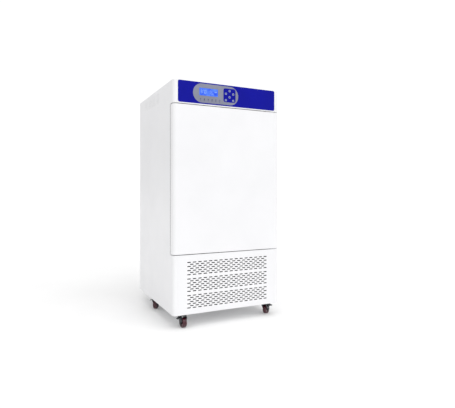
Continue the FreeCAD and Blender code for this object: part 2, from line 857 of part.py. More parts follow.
def finned_coil(width, height, depth, x, y, z, rows, columns, fins):
    """A block of thin fins on straight tubes between two end plates, as one brazed solid."""
    end = 2.0
    solids = [box(x - width / 2, x - width / 2 + end, y, y + depth, z, z + height),
              box(x + width / 2 - end, x + width / 2, y, y + depth, z, z + height)]
    margin = 10.0
    for index in range(1, fins):
        fin_x = x - width / 2 + index * width / fins
        solids.append(box(fin_x - fin_thickness / 2, fin_x + fin_thickness / 2, y + 3, y + depth - 3,
                          z + margin, z + height - margin))
    for row in range(rows):
        for column in range(columns):
            tube_y = y + depth * (column + 0.5) / columns
            tube_z = z + margin + (height - 2 * margin) * (row + 0.5) / rows
            solids.append(rod(vec(x - width / 2, tube_y, tube_z), vec(x + width / 2, tube_y, tube_z),
                              tube_radius))
    return solids[0].fuse(solids[1:])


def evaporator():
    """Cooling coil in the air duct; its end plates reach back to the chamber's rear wall."""
    coil_y = chamber_rear - evaporator_depth
    return finned_coil(evaporator_width, evaporator_height, evaporator_depth, 0, coil_y,
                       evaporator_bottom(), 4, 2, 17)


def evaporator_bottom():
    return chamber_bottom + 30.0


def heater():
    """Tubular heating ring round the fan motor, on a plate fixed to the rear wall."""
    ring_radius, tube = 60.0, 3.2
    y = chamber_rear - 22.0
    ring = Part.makeTorus(ring_radius, tube, vec(0, y, fan_z), vec(0, 1, 0))
    terminals = [rod(vec(x, y, fan_z + ring_radius), vec(x, chamber_rear, fan_z + ring_radius), tube)
                 for x in (-8, 8)]
    plate = box(-24, 24, chamber_rear - 3, chamber_rear,
                fan_z + ring_radius - 12, fan_z + ring_radius + 12)
    return joined(ring, plate, *terminals)


def motor(z, mount_y):
    """Fan motor with its rear face at mount_y and its shaft towards the front."""
    body = rod(vec(0, mount_y, z), vec(0, mount_y - motor_length, z), motor_radius)
    shaft = rod(vec(0, mount_y - motor_length, z),
                vec(0, mount_y - motor_length - motor_shaft_length, z), fan_shaft_radius)
    return joined(body, shaft)


def fan_wheel(z, mount_y):
    """Axial fan wheel on a motor's shaft: a hub with five pitched blades."""
    y1 = mount_y - motor_length - fan_motor_gap
    y0 = y1 - fan_depth
    hub = rod(vec(0, y0, z), vec(0, y1, z), fan_hub_radius)
    blades = []
    half_chord, half_thickness = fan_blade_chord / 2, fan_blade_thickness / 2
    for index in range(fan_blades):
        blade = box(-half_chord, half_chord, -half_thickness, half_thickness,
                    fan_hub_radius - 4, fan_radius)
        blade.rotate(vec(0, 0, 0), vec(0, 0, 1), fan_blade_pitch)
        blade.rotate(vec(0, 0, 0), vec(0, 1, 0), 360 / fan_blades * index)
        blade.translate(vec(0, (y0 + y1) / 2, z))
        blades.append(blade)
    bore = rod(vec(0, y0 - 1, z), vec(0, y1 + 1, z), fan_shaft_radius + pin_clearance)
    return hub.fuse(blades).cut(bore)


# ---------------------------------------------------------------- machine housing
def condenser_motor_y():
    return front + condenser_setback + condenser_depth + fan_depth + fan_motor_gap + motor_length + 10


def condenser_fan_z():
    return base_z + tray_thickness + condenser_height / 2


def condenser():
    """Condenser coil standing on the tray, and behind it the shroud with the motor's bridge."""
    y = front + condenser_setback
    z = base_z + tray_thickness
    coil = finned_coil(condenser_width, condenser_height, condenser_depth, 0, y, z, 5, 2, 15)
    shroud_y = y + condenser_depth
    half = condenser_width / 2
    plate = box(-half, half, shroud_y, shroud_y + sheet, z, z + condenser_height)
    shroud_depth = 30.0
    mouth_radius = fan_radius + 6
    fan_height = condenser_fan_z()
    ring_outer = rod(vec(0, shroud_y, fan_height), vec(0, shroud_y + shroud_depth, fan_height),
                     mouth_radius + sheet)
    ring_inner = rod(vec(0, shroud_y - 1, fan_height), vec(0, shroud_y + shroud_depth + 1, fan_height),
                     mouth_radius)
    shroud = joined(plate, ring_outer).cut(ring_inner)
    motor_y = condenser_motor_y()
    post_x = fan_radius + 20
    strip, half_strip = 3.0, 14.0
    bridge = box(-post_x, post_x, motor_y, motor_y + strip,
                 fan_height - half_strip, fan_height + half_strip)
    posts = [box(x, x + strip, shroud_y + sheet, motor_y, fan_height - half_strip, fan_height + half_strip)
             for x in (-post_x, post_x - strip)]
    return [coil, joined(shroud, bridge, *posts)]


def compressor_centre():
    return -compressor_inset_x, panel_rear - compressor_inset_y


def compressor():
    """Sealed compressor: welded shell with two stubs on a foot plate, on four rubber mounts."""
    x, y = compressor_centre()
    floor = base_z + tray_thickness
    foot_z = floor + mount_height
    half_length, half_depth = compressor_foot_length / 2, compressor_foot_width / 2
    shell_z = foot_z + compressor_foot_sheet
    foot = box(x - half_length, x + half_length, y - half_depth, y + half_depth, foot_z, shell_z)
    shell = Part.makeCylinder(compressor_radius, compressor_height, vec(x, y, shell_z))
    shell = shell.makeFillet(compressor_dome, [edge for edge in shell.Edges
                                               if edge.BoundBox.ZMin > foot_z + compressor_height - 1])
    top = shell_z + compressor_height
    stubs = [Part.makeCylinder(6.0, 20.0, vec(stub_x, y, top - 2))
             for stub_x in compressor_stubs()]
    mount_inset = 17.0
    mount_x, mount_y = half_length - mount_inset, half_depth - mount_inset
    mounts = [Part.makeCylinder(12.0, mount_height, vec(x + dx, y + dy, floor))
              for dx in (-mount_x, mount_x) for dy in (-mount_y, mount_y)]
    return [joined(foot, shell, *stubs)] + mounts


def compressor_stubs():
    x = compressor_centre()[0]
    return x - compressor_stub_step, x + compressor_stub_step


def stub_top():
    return base_z + tray_thickness + mount_height + compressor_foot_sheet + compressor_height + 18


def riser_y():
    return chamber_rear + rear_insulation / 2


def riser_places():
    """Where the liquid and suction pipes turn from the rear insulation into the air duct."""
    x = evaporator_width / 2
    z = evaporator_bottom()
    return (x + 26.0, z + 60.0), (x + 52.0, z + 100.0)


def refrigerant_pipes():
    """Discharge, liquid and suction lines; the liquid line carries the filter drier."""
    stub_y = compressor_centre()[1]
    discharge_x, suction_x = compressor_stubs()
    (liquid_x, liquid_z), (suction_riser_x, suction_z) = riser_places()
    coil_y = chamber_rear - evaporator_depth / 2
    coil_x = evaporator_width / 2
    end_x = condenser_width / 2
    end_y = front + condenser_setback + condenser_depth / 2
    cross_z = lower_top - 50.0
    drop_z = base_z + 0.6 * condenser_height
    discharge = pipe([vec(discharge_x, stub_y, stub_top()), vec(discharge_x, stub_y, cross_z),
                      vec(-end_x - 50, stub_y, cross_z), vec(-end_x - 50, end_y, cross_z),
                      vec(-end_x - 50, end_y, drop_z + 60), vec(-end_x, end_y, drop_z + 60)],
                     pipe_radius, pipe_bend)
    liquid = pipe([vec(end_x, end_y, drop_z), vec(liquid_x + 30, end_y, drop_z),
                   vec(liquid_x + 30, riser_y() - 60, drop_z), vec(liquid_x, riser_y() - 60, drop_z + 40),
                   vec(liquid_x, riser_y(), drop_z + 80), vec(liquid_x, riser_y(), liquid_z),
                   vec(liquid_x, coil_y, liquid_z), vec(coil_x, coil_y, liquid_z)],
                  pipe_radius, 0.6 * pipe_bend)
    drier_y = (end_y + riser_y()) / 2
    drier = rod(vec(liquid_x + 30, drier_y - 50, drop_z), vec(liquid_x + 30, drier_y + 50, drop_z), 10.0)
    suction = pipe([vec(suction_x, stub_y, stub_top()), vec(suction_x, stub_y, cross_z),
                    vec(suction_riser_x, stub_y, cross_z), vec(suction_riser_x, riser_y(), cross_z),
                    vec(suction_riser_x, riser_y(), suction_z), vec(suction_riser_x, coil_y, suction_z),
                    vec(coil_x, coil_y, suction_z)],
                   pipe_radius, pipe_bend)
    return [discharge, liquid.fuse(drier), suction]


def mains_inlet():
    """Appliance inlet: flange on the cover, socket body behind it and three contact blades."""
    x, z = inlet_place()

    def block(width, height, y0, y1, dx=0.0, dz=0.0):
        return box(x + dx - width / 2, x + dx + width / 2, y0, y1, z + dz - height / 2, z + dz + height / 2)

    face = rear + screw_head_height
    socket_floor = rear - inlet_socket_depth
    flange = block(inlet_flange_width, inlet_flange_height, rear, face)
    body = block(inlet_body_width, inlet_body_height, rear - inlet_body_depth, rear)
    cavity = block(inlet_body_width - 2 * inlet_wall, inlet_body_height - 2 * inlet_wall,
                   socket_floor, face + 1)
    blades = [block(blade_width, blade_height, socket_floor - 1, rear - blade_setback, dx, dz)
              for dx, dz in ((-blade_spacing, -blade_offset), (0, blade_offset),
                             (blade_spacing, -blade_offset))]
    return joined(joined(flange, body).cut(cavity), *blades)


def cover_screws():
    screws = []
    for x in (-half_width + rear_flange / 2, half_width - rear_flange / 2):
        for z in rear_screw_heights():
            head = rod(vec(x, rear, z), vec(x, rear + screw_head_height, z), screw_head_radius)
            head = head.makeFillet(1.0, [edge for edge in head.Edges
                                         if edge.BoundBox.YMin > rear + screw_head_height - 0.01])
            shank = rod(vec(x, rear, z), vec(x, rear - screw_length, z), screw_radius)
            screws.append(joined(head, shank))
    return screws


# ---------------------------------------------------------------- casters
# Each caster is drawn at the origin, trailing towards +X, and then turned and moved to its place.
plate_bottom = caster_height - caster_plate_thickness
race_bottom = plate_bottom - race_height
fork_top = race_bottom - swivel_gap
fork_inner = wheel_width / 2 + fork_clearance
fork_outer = fork_inner + fork_sheet
lever_y = -fork_outer - 3.6
lever_z = 52.0
lever_pin_radius = 1.5
lever_x0, lever_x1 = 9.0, 27.0
plate_corner = 5.0
plate_hole_radius = 3.3
plate_hole_inset = 8.0
kingpin_head_height = 1.6
kingpin_head_rim = 2.5
axle_boss = 9.0
axle_head_radius = 5.0
axle_head_height = 2.0
fork_back = 14.0
fork_reach = 26.0
wheel_sunk_radius = 15.0
wheel_hub_radius = 8.0
wheel_sunk_depth = 3.0


def caster_plate():
    """Top plate with four holes, the upper ball race and the kingpin with its head."""
    half_length, half_depth = caster_plate_length / 2, caster_plate_width / 2
    plate = box(-half_length, half_length, -half_depth, half_depth, plate_bottom, caster_height)
    plate = plate.makeFillet(plate_corner, [edge for edge in plate.Edges
                                            if edge.BoundBox.ZLength > caster_plate_thickness - 0.01])
    race = Part.makeCone(race_radius - 3, race_radius, race_height, vec(0, 0, race_bottom))
    pin_bottom = fork_top - fork_sheet - swivel_gap
    kingpin = Part.makeCylinder(kingpin_radius, race_bottom - pin_bottom + swivel_gap, vec(0, 0, pin_bottom))
    head = Part.makeCylinder(kingpin_radius + kingpin_head_rim, kingpin_head_height,
                             vec(0, 0, pin_bottom - kingpin_head_height))
    hole_x, hole_y = half_length - plate_hole_inset, half_depth - plate_hole_inset
    holes = [Part.makeCylinder(plate_hole_radius, 2 * caster_plate_thickness, vec(x, y, plate_bottom - 1))
             for x in (-hole_x, hole_x) for y in (-hole_y, hole_y)]
    return joined(plate, race, kingpin, head).cut(holes)


def fork_leg(y0):
    """One leg: from the round head down to the axle's boss, as a flat pressed cheek."""
    top = fork_top - fork_sheet / 2
    shoulder = top - 12
    outline = [vec(-fork_back, y0, top), vec(fork_reach + 2, y0, top), vec(fork_reach + 8, y0, shoulder),
               vec(caster_trail + axle_boss, y0, wheel_radius),
               vec(caster_trail - axle_boss, y0, wheel_radius),
               vec(-fork_back + 4, y0, shoulder), vec(-fork_back, y0, top)]
    cheek = Part.Face(Part.makePolygon(outline)).extrude(vec(0, fork_sheet, 0))
    end = rod(vec(caster_trail, y0, wheel_radius), vec(caster_trail, y0 + fork_sheet, wheel_radius),
              axle_boss)
    return joined(cheek, end)


def caster_fork():
    """Swivel fork with its round head, the brake lever's two ears, the axle and the lever's pin."""
    head = Part.makeCylinder(race_radius, fork_sheet, vec(0, 0, fork_top - fork_sheet))
    bridge = box(-fork_back, fork_reach, -fork_outer, fork_outer, fork_top - fork_sheet, fork_top)
    legs = [fork_leg(-fork_outer), fork_leg(fork_inner)]
    ear_thickness = 2.0
    ears = []
    for x in (lever_x0 - window_clearance - ear_thickness, lever_x1 + window_clearance):
        ears.append(box(x, x + ear_thickness, lever_y - 2.6, -fork_outer, lever_z - 3, lever_z + 3))
    body = joined(head, bridge, *legs, *ears)
    kingpin_hole = Part.makeCylinder(kingpin_radius + pin_clearance, 20, vec(0, 0, fork_top - 10))
    axle_hole = rod(vec(caster_trail, -race_radius, wheel_radius),
                    vec(caster_trail, race_radius, wheel_radius), axle_radius)
    window = box(lever_x0 - 1, lever_x1 + 1, -fork_outer - 1, -fork_inner + 1, lever_z - 13, lever_z - 3.5)
    pin_line = (vec(lever_x0 - 4, lever_y, lever_z), vec(lever_x1 + 4, lever_y, lever_z))
    lever_pin = rod(*pin_line, lever_pin_radius)
    body = body.cut([kingpin_hole, axle_hole, window, lever_pin])
    axle = rod(vec(caster_trail, -fork_outer, wheel_radius), vec(caster_trail, fork_outer, wheel_radius),
               axle_radius)
    axle_heads = [rod(vec(caster_trail, side * fork_outer, wheel_radius),
                      vec(caster_trail, side * (fork_outer + axle_head_height), wheel_radius),
                      axle_head_radius)
                  for side in (-1, 1)]
    return [body, joined(axle, *axle_heads), lever_pin]


def caster_wheel():
    """Wheel with a rounded tread, sunk sides and a bore that turns on the axle."""
    half = wheel_width / 2

    def across(y0, y1, radius):
        return rod(vec(caster_trail, y0, wheel_radius), vec(caster_trail, y1, wheel_radius), radius)

    wheel = across(-half, half, wheel_radius)
    wheel = wheel.makeFillet(3.5, [edge for edge in wheel.Edges if edge.BoundBox.YLength < 0.01])
    sunk = [across(y0, y1, wheel_sunk_radius).cut(across(y0, y1, wheel_hub_radius))
            for y0, y1 in ((-half - 1, -half + wheel_sunk_depth), (half - wheel_sunk_depth, half + 1))]
    bore = across(-half - 1, half + 1, axle_radius + pin_clearance)
    return wheel.cut(sunk + [bore])


def brake_lever():
    """Side brake: a tab to step on, a bush on the pin and a nose that grips the wheel's side."""
    length = vec(lever_x1 - lever_x0, 0, 0)
    start = vec(lever_x0, lever_y, lever_z)
    bush = rod(start, start + length, 3.1)

    def slab(points):
        corners = [vec(lever_x0, y, z) for y, z in points]
        return Part.Face(Part.makePolygon(corners + corners[:1])).extrude(length)

    nose_tip = -wheel_width / 2 - 2.0
    tab = slab([(lever_y - 2, lever_z + 2.4), (lever_y - 16, lever_z - 1.4),
                (lever_y - 17, lever_z - 3.6), (lever_y - 2, lever_z - 0.4)])
    arm = slab([(lever_y - 1.4, lever_z - 1), (lever_y + 1.4, lever_z - 1),
                (lever_y + 1.4, lever_z - 8), (nose_tip, lever_z - 8),
                (nose_tip, lever_z - 11), (lever_y - 1.4, lever_z - 11)])
    pin_hole = rod(start - vec(2, 0, 0), start + length + vec(2, 0, 0), lever_pin_radius + pin_clearance)
    return joined(bush, tab, arm).cut(pin_hole)


def caster_places():
    """Position and heading, in degrees, of each caster: the headings are those it was left at."""
    front_y, rear_y = front + front_caster_setback, front + rear_caster_setback
    return {"front_left": (-front_caster_x, front_y, -82.0),
            "front_right": (front_caster_x, front_y, 34.0),
            "rear_left": (-rear_caster_x, rear_y, -127.0),
            "rear_right": (rear_caster_x, rear_y, 127.0)}


def placed(solid, x, y, heading):
    copy = solid.copy()
    copy.rotate(vec(0, 0, 0), vec(0, 0, 1), heading)
    copy.translate(vec(x, y, 0))
    return copy


# ---------------------------------------------------------------- write every node
def main():
    os.makedirs("parts", exist_ok=True)

    left = left_panel()
    save("left_side_panel", left)
    save("right_side_panel", mirrored(left))
    save("top_cover", top_cover())
    save("rear_panel", rear_panel())
    save("rear_service_cover", rear_service_cover())
    save("base_tray", base_tray())
    save("front_grille", front_grille())
    save("cabinet_foam", cabinet_foam())
    save("chamber_liner", chamber_liner())
    save("cover_screws", *cover_screws())

    save("control_fascia", control_fascia())
    save("control_overlay", control_overlay())
    save("display_bezel", display_bezel())
    save("lcd_display", lcd_display())
    save("control_board", *control_board())
    for name, (x, z) in key_places().items():
        save(name, key(x, z))

    save("door_skin", door_skin())
    save("door_end_caps", door_end_cap(door_bottom, False),
         door_end_cap(door_top - door_cap_thickness, True))
    save("door_inner_panel", door_inner_panel())
    save("door_foam", door_foam())
    save("door_gasket", door_gasket())
    save("door_hinges", door_hinge(lower_top, False), door_hinge(upper_bottom - hinge_plate, True))

    save("inner_glass", inner_glass())
    save("inner_door_shoes", inner_door_shoe(True), inner_door_shoe(False))
    save("inner_door_knob", inner_door_knob())

    sides = (False, True)
    save("shelf_uprights", *[shelf_upright(y, mirror) for y in upright_places() for mirror in sides])
    save("shelf_clips", *[shelf_clip(y, z, mirror) for z in shelf_heights()
                          for y in upright_places() for mirror in sides])
    for number, z in enumerate(shelf_heights(), start=1):
        save("shelf_" + str(number), shelf(z))
    save("air_duct_cover", air_duct_cover())
    save("temperature_probe", temperature_probe())
    save("chamber_lamp", chamber_lamp())
    save("evaporator", evaporator())
    save("heater", heater())
    save("fan_motors", motor(fan_z, chamber_rear), motor(condenser_fan_z(), condenser_motor_y()))
    save("circulation_fan", fan_wheel(fan_z, chamber_rear))
    save("condenser_fan", fan_wheel(condenser_fan_z(), condenser_motor_y()))
    save("condenser", *condenser())
    save("compressor", *compressor())
    save("refrigerant_pipes", *refrigerant_pipes())
    save("mains_inlet", mains_inlet())

    plate, fork_parts = caster_plate(), caster_fork()
    wheel, lever = caster_wheel(), brake_lever()
    places = caster_places()
    save("caster_plates", *[placed(plate, x, y, 0) for x, y, heading in places.values()])
    for corner, place in places.items():
        save("caster_fork_" + corner, *[placed(solid, *place) for solid in fork_parts])
        save("caster_wheel_" + corner, placed(wheel, *place))
        save("brake_lever_" + corner, placed(lever, *place))


main()
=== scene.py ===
import json
import math

import bmesh
import bpy
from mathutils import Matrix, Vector


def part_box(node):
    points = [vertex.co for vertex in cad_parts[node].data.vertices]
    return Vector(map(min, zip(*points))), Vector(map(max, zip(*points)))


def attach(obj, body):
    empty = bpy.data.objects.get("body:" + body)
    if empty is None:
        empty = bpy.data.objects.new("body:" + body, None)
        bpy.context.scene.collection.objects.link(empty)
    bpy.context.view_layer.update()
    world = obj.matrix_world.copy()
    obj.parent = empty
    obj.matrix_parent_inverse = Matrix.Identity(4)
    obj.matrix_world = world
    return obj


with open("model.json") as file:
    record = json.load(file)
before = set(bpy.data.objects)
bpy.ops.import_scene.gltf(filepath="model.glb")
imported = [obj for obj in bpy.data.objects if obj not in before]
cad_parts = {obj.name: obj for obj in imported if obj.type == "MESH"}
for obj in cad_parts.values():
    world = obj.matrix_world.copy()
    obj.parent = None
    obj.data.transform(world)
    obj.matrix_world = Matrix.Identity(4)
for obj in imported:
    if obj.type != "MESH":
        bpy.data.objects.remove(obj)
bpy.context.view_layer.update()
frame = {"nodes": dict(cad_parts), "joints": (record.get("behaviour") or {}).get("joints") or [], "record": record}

NODES = frame["nodes"]


def node_box(name):
    low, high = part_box(name)
    return Vector(low), Vector(high)


def srgb(red, green, blue):
    """A colour given as 0 to 255 screen values, in the linear values that shaders take."""
    def channel(value):
        value /= 255
        return value / 12.92 if value <= 0.04045 else ((value + 0.055) / 1.055) ** 2.4
    return channel(red), channel(green), channel(blue), 1.0


# ---------------------------------------------------------------- materials
NOISE_MIDDLE = (0.35, 0.65)     # the noise values that take a ramp's low and high ends
FINE_DETAIL, COARSE_DETAIL = 4.0, 2.0


class Shader:
    """A Principled material with short calls for the noise that its sockets take."""

    def __init__(self, name):
        self.material = bpy.data.materials.new(name)
        self.material.use_nodes = True
        self.tree = self.material.node_tree
        self.bsdf = self.tree.nodes["Principled BSDF"]

    def node(self, kind, **values):
        made = self.tree.nodes.new(kind)
        for key, value in values.items():
            if key in made.inputs:
                made.inputs[key].default_value = value
            else:
                setattr(made, key, value)
        return made

    def link(self, source, target):
        self.tree.links.new(source, target)

    def set(self, **values):
        for key, value in values.items():
            self.bsdf.inputs[key.replace("_", " ")].default_value = value
        return self

    def place(self, stretch=(1, 1, 1)):
        """Object coordinates, in metres, stretched along the axes."""
        where = self.node("ShaderNodeTexCoord")
        mapping = self.node("ShaderNodeMapping")
        mapping.inputs["Scale"].default_value = stretch
        self.link(where.outputs["Object"], mapping.inputs["Vector"])
        return mapping.outputs["Vector"]

    def noise(self, scale, detail, stretch=(1, 1, 1)):
        made = self.node("ShaderNodeTexNoise", Scale=scale, Detail=detail)
        self.link(self.place(stretch), made.inputs["Vector"])
        return made.outputs["Fac"]

    def ramp(self, factor, low, high):
        """Low to high colour over the middle of the noise's range."""
        made = self.node("ShaderNodeValToRGB")
        for element, position, colour in zip(made.color_ramp.elements, NOISE_MIDDLE, (low, high)):
            element.position = position
            element.color = colour
        self.link(factor, made.inputs["Fac"])
        return made.outputs["Color"]

    def colour(self, base, spread, scale, stretch=(1, 1, 1)):
        """Base colour that drifts by spread, as a share, over patches of 1 / scale metres."""
        low = tuple(max(c * (1 - spread), 0) for c in base[:3]) + (1,)
        high = tuple(min(c * (1 + spread), 1) for c in base[:3]) + (1,)
        tone = self.ramp(self.noise(scale, FINE_DETAIL, stretch), low, high)
        self.link(tone, self.bsdf.inputs["Base Color"])
        return self

    def rough(self, low, high, scale, stretch=(1, 1, 1)):
        """Roughness that drifts from low to high over patches of 1 / scale metres."""
        grey = [(value, value, value, 1) for value in (low, high)]
        gloss = self.ramp(self.noise(scale, FINE_DETAIL, stretch), *grey)
        self.link(gloss, self.bsdf.inputs["Roughness"])
        return self

    def bump(self, scale, strength, distance, stretch=(1, 1, 1)):
        """Relief with grains of 1 / scale metres and the given height."""
        made = self.node("ShaderNodeBump", Strength=strength, Distance=distance)
        self.link(self.noise(scale, COARSE_DETAIL, stretch), made.inputs["Height"])
        self.link(made.outputs["Normal"], self.bsdf.inputs["Normal"])
        return self


def powder_coat(name, base, roughness=0.34):
    """Satin powder coat: faint orange peel and a slow drift of tone and gloss."""
    shader = Shader(name)
    shader.colour(base, 0.015, 5.0).rough(roughness - 0.05, roughness + 0.07, 14.0)
    shader.bump(650.0, 0.12, 0.0004)
    shader.set(Coat_Weight=0.12, Coat_Roughness=0.25)
    return shader.material


def brushed_steel(name, base, stretch, roughness=0.3):
    """Stainless sheet with its brush lines along the axis that the stretch leaves long."""
    shader = Shader(name)
    shader.colour(base, 0.07, 60.0, stretch).rough(roughness - 0.08, roughness + 0.1, 90.0, stretch)
    shader.bump(420.0, 0.10, 0.0002, stretch)
    shader.set(Metallic=1.0, Anisotropic=0.4)
    return shader.material


def plain_metal(name, base, roughness, spread=0.08):
    """Bare or plated metal with a fine even grain."""
    grain = 220.0
    shader = Shader(name)
    shader.colour(base, spread, 40.0).rough(roughness - 0.07, roughness + 0.1, grain)
    shader.bump(grain * 3, 0.1, 0.0002)
    shader.set(Metallic=1.0)
    return shader.material


def moulded(name, base, roughness, spread=0.04, grain=900.0, strength=0.1):
    """Moulded plastic or enamel: fine grain in the relief, slight drift in tone and gloss."""
    shader = Shader(name)
    shader.colour(base, spread, 30.0).rough(roughness - 0.06, roughness + 0.08, 120.0)
    shader.bump(grain, strength, 0.0003)
    return shader.material


def printed_film(name, base, spread=0.05, roughness=0.5, gloss=0.12):
    """Polyester membrane: velvet grain under a smooth satin face."""
    shader = Shader(name)
    shader.colour(base, spread, 9.0).rough(roughness - 0.06, roughness + 0.06, 60.0)
    shader.bump(2200.0, 0.08, 0.0001)
    shader.set(Specular_IOR_Level=gloss)
    return shader.material


def lit_display(name):
    """Backlit blue display: an uneven backlight under a fine dot grid."""
    shader = Shader(name)
    glow = shader.ramp(shader.noise(30.0, COARSE_DETAIL), srgb(38, 84, 236), srgb(92, 140, 252))
    shader.link(glow, shader.bsdf.inputs["Emission Color"])
    shader.set(Base_Color=(0.01, 0.02, 0.12, 1), Emission_Strength=0.95, Specular_IOR_Level=0.2)
    shader.rough(0.25, 0.4, 50.0).bump(2600.0, 0.05, 0.0001)
    return shader.material


def clear_glass(name):
    """Float glass with its faint green tint."""
    shader = Shader(name)
    shader.colour((0.9, 0.965, 0.94), 0.02, 4.0).rough(0.0, 0.03, 8.0)
    shader.set(Transmission_Weight=1.0, IOR=1.5)
    return shader.material


def rigid_foam(name):
    """Yellowish foam with open cells at its cut faces."""
    shader = Shader(name)
    shader.colour(srgb(226, 208, 160), 0.12, 160.0).rough(0.85, 0.98, 300.0).bump(520.0, 0.5, 0.001)
    return shader.material


def seal_rubber(name):
    """Dark soft rubber with faint ribs."""
    shader = Shader(name)
    shader.colour(srgb(52, 53, 56), 0.08, 80.0).rough(0.55, 0.72, 200.0)
    shader.bump(60.0, 0.15, 0.0006, (1, 1, 12))
    return shader.material


def polyurethane(name):
    """Cast wine-red polyurethane: glossy under a thin clear coat, in uneven tones."""
    shader = Shader(name)
    shader.colour(srgb(64, 6, 25), 0.25, 140.0).rough(0.2, 0.42, 260.0).bump(700.0, 0.12, 0.0003)
    shader.set(Coat_Weight=0.3, Coat_Roughness=0.15)
    return shader.material


def slot_shade_mat(name):
    """Dark open-cell mat, whose colour paints the shade seen through slots and holes."""
    shader = Shader(name)
    shader.colour(srgb(46, 47, 50), 0.35, 420.0).rough(0.8, 0.95, 300.0).bump(420.0, 0.6, 0.001)
    return shader.material


def make_materials():
    """One material for each slot of the record, one for the shelves, and three for pieces made here."""
    return {
        "white_paint": powder_coat("white_paint", (0.86, 0.86, 0.875)),
        "rear_paint": powder_coat("rear_paint", (0.74, 0.745, 0.76), 0.4),
        "insulation": rigid_foam("insulation"),
        "stainless": brushed_steel("stainless", (0.62, 0.62, 0.61), (1, 14, 14)),
        "shelf_steel": plain_metal("shelf_steel", (0.66, 0.66, 0.65), 0.22),
        "zinc": plain_metal("zinc", (0.55, 0.56, 0.58), 0.3),
        "blue_film": printed_film("blue_film", srgb(6, 10, 148)),
        "grey_film": printed_film("grey_film", srgb(133, 136, 153), 0.06, 0.45, 0.25),
        "display": lit_display("display"),
        "key_plastic": moulded("key_plastic", srgb(138, 146, 182), 0.45),
        "circuit_board": moulded("circuit_board", srgb(20, 92, 48), 0.35, 0.15),
        "white_plastic": moulded("white_plastic", (0.8, 0.8, 0.8), 0.33),
        "seal_rubber": seal_rubber("seal_rubber"),
        "glass": clear_glass("glass"),
        "coil_aluminium": plain_metal("coil_aluminium", (0.72, 0.73, 0.74), 0.35),
        "motor_steel": moulded("motor_steel", srgb(70, 72, 76), 0.4, 0.1),
        "fan_plastic": moulded("fan_plastic", srgb(30, 31, 34), 0.45, 0.15),
        "compressor_black": moulded("compressor_black", srgb(18, 18, 20), 0.22, 0.2),
        "copper_pipe": plain_metal("copper_pipe", (0.72, 0.36, 0.22), 0.28, 0.2),
        "inlet_plastic": moulded("inlet_plastic", srgb(24, 24, 26), 0.4, 0.15),
        "caster_steel": moulded("caster_steel", srgb(36, 40, 46), 0.3, 0.25, 500.0, 0.2),
        "wheel_red": polyurethane("wheel_red"),
        "brake_steel": moulded("brake_steel", srgb(44, 47, 52), 0.34, 0.2, 500.0, 0.2),
        "ink_blue": printed_film("ink_blue", srgb(40, 44, 96)),
        "segment_light": moulded("segment_light", srgb(150, 186, 255), 0.3),
        # dark mat: painted shade behind the grille slots and the side vent holes
        "slot_shade_mat": slot_shade_mat("slot_shade_mat"),
    }


MATERIALS = make_materials()


def dress_nodes():
    """Every CAD node takes the material of its slot in the record."""
    for part in frame["record"]["subparts"]:
        name, slot = part["node"], part["material_slot"]
        if name.startswith("shelf_"):
            slot = "shelf_steel"
        mesh = NODES[name].data
        mesh.materials.clear()
        mesh.materials.append(MATERIALS[slot])


# ---------------------------------------------------------------- mesh helpers
def new_piece(name, mesh, material, body):
    piece = bpy.data.objects.new(name, mesh)
    bpy.context.scene.collection.objects.link(piece)
    mesh.materials.append(MATERIALS[material])
    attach(piece, body)


def mesh_from(build):
    """A mesh that build(bm) fills."""
    bm = bmesh.new()
    build(bm)
    bmesh.ops.recalc_face_normals(bm, faces=bm.faces)
    mesh = bpy.data.meshes.new("mesh")
    bm.to_mesh(mesh)
    bm.free()
    return mesh


def add_plaque(bm, outline, y_front, depth):
    """A flat closed shape facing the front: outline is a list of (x, z), depth goes to the back."""
    front = [bm.verts.new((x, y_front, z)) for x, z in outline]
    back = [bm.verts.new((x, y_front + depth, z)) for x, z in outline]
    bm.faces.new(front)
    bm.faces.new(list(reversed(back)))
    for index in range(len(outline)):
        after = (index + 1) % len(outline)
        bm.faces.new((front[index], back[index], back[after], front[after]))


def bar(x0, x1, z0, z1):
    return [(x0, z0), (x1, z0), (x1, z1), (x0, z1)]


def disc(x, z, radius, count=24):
    return [(x + radius * math.cos(2 * math.pi * i / count),
             z + radius * math.sin(2 * math.pi * i / count)) for i in range(count)]


# ---------------------------------------------------------------- control panel
PRINT_DEPTH = 0.0002
MARK_REACH = 0.0042         # from a mark's centre to its farthest point, on keys and label
LINE_HALF = 0.0004          # half the width of a thin printed line
STROKE_HALF = 0.0005        # half the width of a thicker one


def add_print(bm, outline, y_front):
    """A printed mark: a plaque as thick as the ink."""
    add_plaque(bm, outline, y_front, PRINT_DEPTH)


def key_symbol(name):
    """Outlines, about a key's centre, of the mark on its cap: an arrow, a list or a lamp."""
    r = MARK_REACH
    turns = {"up_key": 90, "left_key": 180, "right_key": 0, "down_key": 270}
    if name in turns:
        angle = math.radians(turns[name])
        arrow = [(r, 0), (-0.5 * r, 0.85 * r), (-0.5 * r, -0.85 * r)]
        return [[(x * math.cos(angle) - z * math.sin(angle),
                  x * math.sin(angle) + z * math.cos(angle)) for x, z in arrow]]
    if name == "set_key":
        line_length, line_step = 1.6 * r, 0.0022
        return [bar(-line_length / 2, line_length / 2, z - LINE_HALF, z + LINE_HALF)
                for z in (-line_step, 0.0, line_step)]
    bulb_radius, ray_start, ray_half, rays = 0.42 * r, 0.65 * r, 0.00035, 8
    outlines = [disc(0, 0, bulb_radius)]
    for step in range(rays):
        angle = 2 * math.pi * step / rays
        along, across = (math.cos(angle), math.sin(angle)), (-math.sin(angle), math.cos(angle))
        outlines.append([(along[0] * reach + across[0] * side, along[1] * reach + across[1] * side)
                         for reach, side in ((ray_start, -ray_half), (r, -ray_half),
                                             (r, ray_half), (ray_start, ray_half))])
    return outlines


